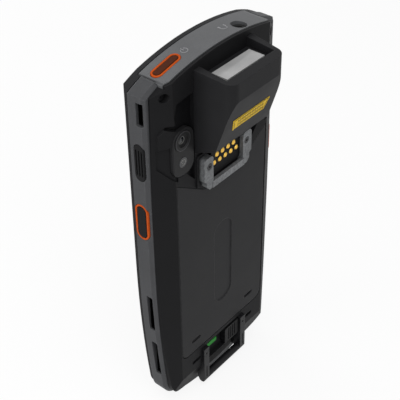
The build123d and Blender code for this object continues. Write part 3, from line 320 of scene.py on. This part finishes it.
def make_materials():
    return {
        "bezel": surface("bezel", (0.012, 0.012, 0.013), 0.55, specular=0.1),
        # Rail, hood, cover and loop get stronger, wider edge lightening: painted highlight along their ridges and
        # rims, partly wear.
        "rail": surface("rail", (0.052, 0.053, 0.056), 0.52, specular=0.1, edge=0.6, wear_and_highlight=0.6, rim_from=0.995,
                        rim_to=0.93),
        "cap": surface("cap", (0.098, 0.100, 0.104), 0.5, specular=0.15),
        "chassis": surface("chassis", (0.009, 0.009, 0.0095), 0.55, specular=0.08),
        # The housing's sunken valley floors get a darker colour: painted shade where the hood and camera island shade
        # that recess.
        "housing": surface("housing", (0.0085, 0.0085, 0.0092), 0.56, specular=0.07, mask=valley_painted_shade,
                           darker=(0.0035, 0.0035, 0.004), darker_rough=0.45),
        "hood": surface("hood", (0.0115, 0.0115, 0.0125), 0.52, specular=0.1, edge=0.35, wear_and_highlight=0.9),
        "cover": surface("cover", (0.0165, 0.0165, 0.0175), 0.55, specular=0.1, edge=0.6, wear_and_highlight=0.9,
                         rim_from=0.997, rim_to=0.975),
        "island": surface("island", (0.0125, 0.0125, 0.0132), 0.45, specular=0.12),
        "block": surface("block", (0.003, 0.003, 0.0035), 0.5, specular=0.08),
        "key": surface("key", (0.0065, 0.0065, 0.007), 0.55, specular=0.08),
        "orange": surface("orange", (0.42, 0.062, 0.004), 0.5, specular=0.06, wear_and_highlight=0.15),
        # A copy of the orange darkened to deep brown: painted shade for the power key in its orange-lined recess.
        "shaded_orange": surface("shaded_orange", (0.055, 0.012, 0.003), 0.5, specular=0.06, wear_and_highlight=0.15),
        "latch": surface("latch", (0.005, 0.005, 0.0055), 0.5, specular=0.1),
        "flag": surface("flag", (0.006, 0.22, 0.014), 0.4, specular=0.15, wear_and_highlight=0.3),
        "loop": surface("loop", (0.0075, 0.0075, 0.0085), 0.42, specular=0.15, edge=0.3, wear_and_highlight=1.0),
        "seal": surface("seal", (0.010, 0.010, 0.011), 0.7, specular=0.1),
        "bracket": surface("bracket", (0.15, 0.155, 0.16), 0.55, metallic=0.35, grain=1100.0, bump=0.8, depth=0.09,
                           blotch=0.3),
        "gold": surface("gold", (0.82, 0.50, 0.09), 0.3, metallic=1.0, grain=1500.0, bump=0.08, wear_and_highlight=0.3),
        "black_steel": surface("black_steel", (0.010, 0.010, 0.011), 0.4, specular=0.15),
        "bare_steel": surface("bare_steel", (0.42, 0.42, 0.43), 0.32, metallic=1.0, bump=0.1,
                              streak=(1.0, 1.0, 0.1)),
        "label": surface("label", (0.70, 0.46, 0.018), 0.45, specular=0.06, wear_and_highlight=0.1),
        "ink": surface("ink", (0.03, 0.03, 0.03), 0.6),
        "pale_ink": surface("pale_ink", (0.26, 0.26, 0.27), 0.6),
        "antenna": surface("antenna", (0.45, 0.26, 0.12), 0.4, metallic=0.6),
        "pack": surface("pack", (0.05, 0.05, 0.055), 0.35, bump=0.05),
        "board": surface("board", (0.02, 0.11, 0.05), 0.4, grain=900.0),
        "module": surface("module", (0.02, 0.02, 0.02), 0.45),
        "mesh": surface("mesh", (0.015, 0.015, 0.015), 0.6, grain=1800.0, bump=0.8, depth=0.1),
        "reflector": surface("reflector", (0.13, 0.13, 0.125), 0.3, specular=0.3, grain=1500.0),
        "grey_bead": surface("grey_bead", (0.035, 0.035, 0.037), 0.4, specular=0.15),
        # Near-black material for the trays in the strap slots: painted shade for the slots' insides.
        "slot_shade": surface("slot_shade", (0.0015, 0.0015, 0.0015), 0.7, specular=0.02),
        "glass": glassy("glass", (0.006, 0.006, 0.007), 0.04),
        "screen": glassy("screen", (0.004, 0.0045, 0.006), 0.08),
        "lens": glassy("lens", (0.006, 0.007, 0.010), 0.03),
        "scan_glass": glassy("scan_glass", (0.34, 0.34, 0.34), 0.12),
    }


def dress_nodes(finish):
    for row in frame["record"]["subparts"]:
        for slot in nodes[row["node"]].material_slots:
            slot.material = finish[row["material_slot"]]
    # The power key takes the darkened copy of the orange, as painted shade.
    own = {"power_key": "shaded_orange", "bracket_screws": "grey_bead", "latch_tongue": "black_steel"}
    for node, name in own.items():
        for slot in nodes[node].material_slots:
            slot.material = finish[name]


# ---------------------------------------------------------------- shapes of the small pieces
def attach(obj, body, material):
    obj.data.materials.append(finish[material])
    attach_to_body(obj, body)
    return obj


def mesh_piece(name, mesh, smooth=True):
    data = bpy.data.meshes.new(name)
    bmesh.ops.remove_doubles(mesh, verts=mesh.verts, dist=1e-7)
    bmesh.ops.recalc_face_normals(mesh, faces=mesh.faces)
    mesh.to_mesh(data)
    mesh.free()
    for face in data.polygons:
        face.use_smooth = smooth
    return link(name, data)


def turned_rings(profile, place, axis, steps=40):
    """Rings of points for a profile of radius and height pairs (mm) turned about an axis through a place."""
    turn = Vector((0, 0, 1)).rotation_difference(Vector(axis)).to_matrix()
    rings = []
    for radius, height in profile:
        ring = []
        for step in range(steps):
            angle = math.tau * step / steps
            spot = Vector((radius * math.cos(angle), radius * math.sin(angle), height)) * MM
            ring.append(Vector(place) + turn @ spot)
        rings.append(ring)
    return rings


def add_turned(mesh, profile, place, axis, steps=40):
    """Adds a closed turned solid; the profile's last point is joined to its first."""
    rings = [[mesh.verts.new(point) for point in ring] for ring in turned_rings(profile, place, axis, steps)]
    for low, high in zip(rings, rings[1:] + rings[:1]):
        for step in range(steps):
            after = (step + 1) % steps
            mesh.faces.new((low[step], low[after], high[after], high[step]))


def add_tube(mesh, points, radius, closed=False, sides=8):
    """Adds a round bead along points (m), its radius in mm."""
    count = len(points)
    rings = []
    for index, point in enumerate(points):
        before = points[index - 1] if index or closed else point
        after = points[(index + 1) % count] if index < count - 1 or closed else point
        along = (after - before).normalized()
        side = along.cross(Vector((0.31, 0.57, 0.76))).normalized()
        up = along.cross(side)
        ring = []
        for step in range(sides):
            angle = math.tau * step / sides
            ring.append(mesh.verts.new(point + (side * math.cos(angle) + up * math.sin(angle)) * radius * MM))
        rings.append(ring)
    pairs = zip(rings, rings[1:] + rings[:1]) if closed else zip(rings, rings[1:])
    for low, high in pairs:
        for step in range(sides):
            after = (step + 1) % sides
            mesh.faces.new((low[step], low[after], high[after], high[step]))
    if not closed:
        mesh.faces.new(rings[0])
        mesh.faces.new(rings[-1])


def dome(radius, foot, rise):
    """Profile points (mm) of a dome that rises from a foot height to the axis."""
    quarter = [math.radians(15 * step) for step in range(1, 7)]
    return [(max(radius * math.cos(angle), AXIS_GAP), foot + rise * math.sin(angle)) for angle in quarter]


def loose_parts(node):
    """Lowest and highest corners of each loose solid in a node's mesh."""
    mesh = bmesh.new()
    mesh.from_mesh(nodes[node].data)
    bmesh.ops.remove_doubles(mesh, verts=mesh.verts, dist=1e-6)
    left = set(mesh.verts)
    boxes = []
    while left:
        group = [left.pop()]
        for vert in group:
            for edge in vert.link_edges:
                other = edge.other_vert(vert)
                if other in left:
                    left.remove(other)
                    group.append(other)
        low = Vector([min(vert.co[axis] for vert in group) for axis in range(3)])
        high = Vector([max(vert.co[axis] for vert in group) for axis in range(3)])
        boxes.append((low, high))
    mesh.free()
    return sorted(boxes, key=lambda pair: (round(pair[0].z, 5), round(pair[0].x, 5)))


def surface_of(node):
    mesh = bmesh.new()
    mesh.from_mesh(nodes[node].data)
    tree = BVHTree.FromBMesh(mesh)
    mesh.free()
    return tree


def arc(centre, radius, start, end, steps=24):
    """Points (mm) of an arc in a plane, its angles in degrees."""
    points = []
    for step in range(steps + 1):
        angle = math.radians(start + (end - start) * step / steps)
        points.append((centre[0] + radius * math.cos(angle), centre[1] + radius * math.sin(angle)))
    return points


# ---------------------------------------------------------------- gold contacts
def make_contacts():
    """Spring contacts with a collar, a waist and a domed head, one for each bore of the block."""
    head_high = 0.42
    neck_high = 0.14
    head_share = 0.82
    mesh = bmesh.new()
    for low, high in loose_parts("pogo_pins"):
        radius = (high.x - low.x) / 2 / MM
        tall = (high.y - low.y) / MM
        place = ((low.x + high.x) / 2, low.y, (low.z + high.z) / 2)
        collar = tall - head_high
        head = radius * head_share
        foot = collar + neck_high
        profile = [(AXIS_GAP, 0.0), (radius, 0.0), (radius, collar), (radius * 0.96, collar + 0.06),
                   (radius * 0.84, collar + 0.08), (head, foot)]
        add_turned(mesh, profile + dome(head, foot, tall - foot), place, BACK, 28)
    piece = mesh_piece("gold_contacts", mesh)
    attach(piece, "terminal", "gold")
    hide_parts("pogo_pins")


# ---------------------------------------------------------------- marks on the top cap
def on_cap(tree, points):
    """Points (mm, across and along the depth) dropped on the top cap's arched surface."""
    above = 0.3
    found = []
    for x, y in points:
        found.append(tree.ray_cast(Vector((x * MM, y * MM, above)), Vector((0, 0, -1)))[0])
    return found


def make_cap_marks():
    """Generic power and headphone marks, printed on the cap."""
    tree = surface_of("top_cap")
    line = 0.13
    points = 6
    power = (12.1, -7.7)
    power_r = 1.35
    phones = (-8.8, -7.3)
    phones_r = 1.5
    mesh = bmesh.new()
    add_tube(mesh, on_cap(tree, arc(power, power_r, -55, 235)), line)
    stroke = [(power[0], power[1] - 0.2 - step * 0.3) for step in range(points)]
    add_tube(mesh, on_cap(tree, stroke), line)
    add_tube(mesh, on_cap(tree, arc(phones, phones_r, 0, 180)), line)
    for side in (-1, 1):
        cup = [(phones[0] + side * phones_r, phones[1] - step * 0.22) for step in range(points)]
        add_tube(mesh, on_cap(tree, cup), line * 1.9)
    attach(mesh_piece("cap_marks", mesh), "terminal", "pale_ink")


# ---------------------------------------------------------------- camera and flash
def node_middle(node):
    low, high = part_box(node)
    return Vector(low), Vector(high), (Vector(low) + Vector(high)) / 2


def back_place(node):
    """Middle of a node's rearmost face."""
    low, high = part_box(node)
    return (low[0] + high[0]) / 2, high[1], (low[2] + high[2]) / 2


def make_camera_details():
    """Stepped barrel, bright ring, front element and outer bead of the lens, and the flash reflector."""
    place = back_place("camera_ring")
    mesh = bmesh.new()
    outer = 2.45
    element = 1.3
    base = -1.05
    barrel = [(outer, base), (outer, -0.35), (2.1, -0.42), (2.1, -0.62), (1.75, -0.66), (1.75, -0.86), (1.45, -0.9),
              (1.45, base)]
    add_turned(mesh, barrel, place, BACK, 48)
    attach(mesh_piece("lens_barrel", mesh, False), "terminal", "island")
    mesh = bmesh.new()
    add_turned(mesh, [(1.62, -1.0), (1.62, -0.82), (1.36, -0.74), (element, -0.8), (element, -1.0)], place, BACK, 48)
    attach(mesh_piece("lens_bright_ring", mesh), "terminal", "reflector")
    mesh = bmesh.new()
    add_turned(mesh, [(element, base)] + dome(element, -0.98, 0.3) + [(AXIS_GAP, base)], place, BACK, 40)
    attach(mesh_piece("lens_front_element", mesh), "terminal", "lens")
    mesh = bmesh.new()
    add_turned(mesh, [(3.98, -0.12), (3.98, 0.0), (3.7, 0.03), (3.55, -0.02), (3.55, -0.12)], place, BACK, 64)
    attach(mesh_piece("lens_ring_bead", mesh), "terminal", "grey_bead")
    middle_x, face, middle_z = back_place("flash_lens")
    mesh = bmesh.new()
    cup = [Vector((middle_x + x * MM, face, middle_z + z * MM)) for x, z in arc((0, 0), 1.15, 20, 300)]
    add_tube(mesh, cup, 0.2)
    for x, z in ((-0.25, 0.3), (0.25, -0.25)):
        lamp = (middle_x + x * MM, face, middle_z + z * MM)
        add_turned(mesh, [(AXIS_GAP, -0.05), (0.3, -0.05), (0.3, 0.04), (0.2, 0.09), (AXIS_GAP, 0.1)], lamp, BACK, 16)
    attach(mesh_piece("flash_reflector", mesh), "terminal", "reflector")


# ---------------------------------------------------------------- label, window and front
def make_label_border():
    """Printed line just inside the edge of the bare label, and two rows of generic ticks."""
    inside = 0.93
    points_per_side = 10
    source = nodes["label_inlay"].data
    face = max(source.polygons, key=lambda one: one.normal.y * one.area - one.normal.z * one.area)
    normal = face.normal.copy()
    verts = [source.vertices[index].co.copy() for one in source.polygons if (one.normal - normal).length < 0.01
             for index in one.vertices]
    centre = sum(verts, Vector()) / len(verts)
    corners = sorted({tuple(round(value, 6) for value in vert) for vert in verts},
                     key=lambda vert: math.atan2(vert[2] - centre.z, vert[0] - centre.x))
    mesh = bmesh.new()
    points = []
    inner = [centre + (Vector(corner) - centre) * inside for corner in corners]
    for one, two in zip(inner, inner[1:] + inner[:1]):
        for step in range(points_per_side):
            points.append(one.lerp(two, step / points_per_side))
    add_tube(mesh, points, 0.09, closed=True, sides=6)
    attach(mesh_piece("label_border", mesh), "terminal", "ink")
    across = (inner[1] - inner[0], inner[2] - inner[1])
    long_side, short_side = sorted(across, key=lambda side: -side.length)
    mesh = bmesh.new()
    ticks = 26
    lengths = (0.30, 0.18, 0.30, 0.24, 0.12)
    for tick in range(ticks):
        share = (tick + 0.5) / ticks - 0.5
        for row in (-0.2, 0.2):
            half = short_side * lengths[(tick + (2 if row > 0 else 0)) % len(lengths)] / 2
            spot = centre + long_side * share * 0.9 + short_side * row
            add_tube(mesh, [spot - half, spot + half], 0.1, sides=6)
    attach(mesh_piece("label_ticks", mesh), "terminal", "ink")


def box_ring(mesh, corners, offset):
    """Adds one ring of points, moved by an offset."""
    return [mesh.verts.new(corner + offset) for corner in corners]


def first_hit(trees, start, way):
    """Nearest point that a ray meets on any of the trees."""
    hits = [tree.ray_cast(start, way)[0] for tree in trees]
    hits = [hit for hit in hits if hit is not None]
    return min(hits, key=lambda hit: (hit - start).length) if hits else None


def make_slot_shade_trays():
    """Near-black trays in the strap slots of both rails, as painted shade for the slots' shadowed insides; slots
    holds each one's y, z and half length.
    """
    gap = 0.08
    wall = 0.2
    below_face = 0.15
    least_tall = 0.6
    half_wide = 1.4
    beside = 1.9
    outside = 0.1
    slots = ((-6.8, 153.6, 4.8), (-7.3, 58.1, 9.5), (-7.3, 30.6, 10.2))
    behind = [surface_of(node) for node in ("rear_housing", "mid_chassis", "front_bezel")]
    for node in ("side_rail_right", "side_rail_left"):
        tree = surface_of(node)
        sign = 1 if node_middle(node)[2].x > 0 else -1
        mesh = bmesh.new()
        for y, z, half_z in slots:
            inward = Vector((-sign, 0, 0))
            floor = first_hit([tree] + behind, Vector((sign * outside, y * MM, z * MM)), inward)
            edges = [tree.ray_cast(Vector((sign * outside, (y + side * beside) * MM, (z + end * half_z) * MM)),
                                   inward)[0] for side in (-1, 1) for end in (-1, 1)]
            edges = [edge for edge in edges if edge is not None]
            if floor is None or not edges:
                continue
            face = min(sign * edge.x for edge in edges)
            tall = face - sign * floor.x - (below_face + gap) * MM
            if tall < least_tall * MM:
                continue
            spots = []
            for inset in (gap, gap + wall):
                spots.append([Vector((sign * (sign * floor.x + gap * MM), (y + side_y * (half_wide - inset)) * MM,
                                      (z + side_z * (half_z - inset)) * MM))
                              for side_y, side_z in ((-1, -1), (1, -1), (1, 1), (-1, 1))])
            out = Vector((sign * tall, 0, 0))
            rings = [box_ring(mesh, spots[0], Vector()), box_ring(mesh, spots[0], out),
                     box_ring(mesh, spots[1], out), box_ring(mesh, spots[1], Vector((sign * wall * MM, 0, 0)))]
            for one, two in zip(rings, rings[1:]):
                for step in range(4):
                    after = (step + 1) % 4
                    mesh.faces.new((one[step], one[after], two[after], two[step]))
            mesh.faces.new(rings[0])
            mesh.faces.new(rings[-1])
        attach(mesh_piece("slot_shade_trays_" + node.split("_")[-1], mesh, False), "terminal", "slot_shade")


def rounded_frame(half_x, half_z, corner):
    """Closed outline (mm) of a rounded rectangle round the origin."""
    points = []
    for sign_x, sign_z, start in ((1, 1, 0), (-1, 1, 90), (-1, -1, 180), (1, -1, 270)):
        centre = (sign_x * (half_x - corner), sign_z * (half_z - corner))
        points = points + arc(centre, corner, start, start + 90, 8)
    return points


def make_front_details():
    """Frame line round the picture area, bars over the earpiece, ring and lens of the front camera."""
    end_margin = 0.9
    bar_margin = 0.25
    bar_proud = 0.05
    bar_r = 0.13
    camera_r = 1.1
    camera_base = -0.02
    low, high, middle = node_middle("display_module")
    face = node_middle("display_glass")[0].y
    mesh = bmesh.new()
    half_x = (high.x - low.x) / 2 / MM
    half_z = (high.z - low.z) / 2 / MM
    frame_line = [Vector((middle.x + x * MM, face, middle.z + z * MM)) for x, z in rounded_frame(half_x, half_z, 1.2)]
    add_tube(mesh, frame_line, 0.1, closed=True, sides=6)
    attach(mesh_piece("picture_frame", mesh), "terminal", "bezel")
    low, high, middle = node_middle("earpiece")
    mesh = bmesh.new()
    wide = (high.x - low.x) / 2 / MM
    high_half = (high.z - low.z) / 2 / MM
    bars = 12
    for bar in range(bars):
        x = middle.x + (bar - (bars - 1) / 2) * 2 * (wide - end_margin) / bars * MM
        ends = [middle.z + side * (high_half - bar_margin) * MM for side in (-1, 1)]
        add_tube(mesh, [Vector((x, low.y - bar_proud * MM, z)) for z in ends], bar_r)
    attach(mesh_piece("earpiece_bars", mesh), "terminal", "black_steel")
    middle = node_middle("front_camera")[2]
    place = (middle.x, face, middle.z)
    mesh = bmesh.new()
    add_turned(mesh, [(2.0, 0.0), (2.0, 0.04), (1.75, 0.07), (1.6, 0.03), (1.6, 0.0)], place, FRONT, 40)
    attach(mesh_piece("front_camera_ring", mesh), "terminal", "black_steel")
    mesh = bmesh.new()
    profile = [(camera_r, camera_base)] + dome(camera_r, 0.0, 0.05) + [(AXIS_GAP, camera_base)]
    add_turned(mesh, profile, place, FRONT, 32)
    attach(mesh_piece("front_camera_lens", mesh), "terminal", "lens")


make_camera()
make_world(0.5)
softbox("top", (0.25, 0.30, 0.75), (0.6, 0.6), 3.4)
softbox("side", (0.75, -0.20, 0.35), (0.5, 0.5), 2.4)
softbox("front", (-0.2, -0.8, 0.5), (0.5, 0.5), 2.0)
make_floor()
finish = make_materials()
dress_nodes(finish)
make_contacts()
make_cap_marks()
make_camera_details()
make_label_border()
make_slot_shade_trays()
make_front_details()

scene.view_settings.view_transform = "Standard"
